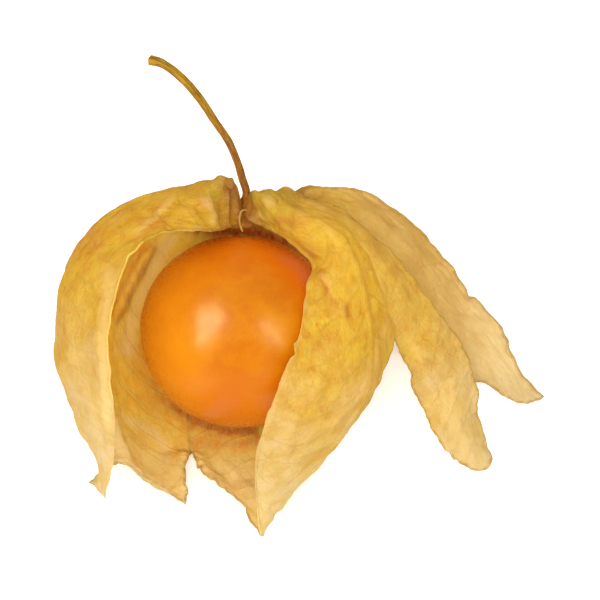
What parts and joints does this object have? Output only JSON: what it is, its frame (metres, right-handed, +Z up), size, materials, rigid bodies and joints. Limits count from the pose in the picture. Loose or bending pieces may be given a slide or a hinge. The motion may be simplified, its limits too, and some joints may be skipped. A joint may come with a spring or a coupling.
{
  "type": "physalis berry",
  "caption": "Ripe orange physalis berry lying in its dry papery husk, which is torn open into free lobes around it, with its thin stalk; lies on its side.",
  "frame": {"origin": "centre of the underside of the whole fruit's bounding box, on the surface that it lies on", "axes": "+Z up from the surface; +Y towards the stalk, so the husk's torn tips point towards -Y; the tear in the husk is on top; +X to the right as seen from the tips"},
  "size_m": [0.0514, 0.0536, 0.0271],
  "materials": {
    "berry": "satin",
    "husk": "matte",
    "stem": "matte"
  },
  "bodies": {
    "root": {"berry": "berry", "husk": "husk", "stem": "stem"}
  },
  "joints": []
}
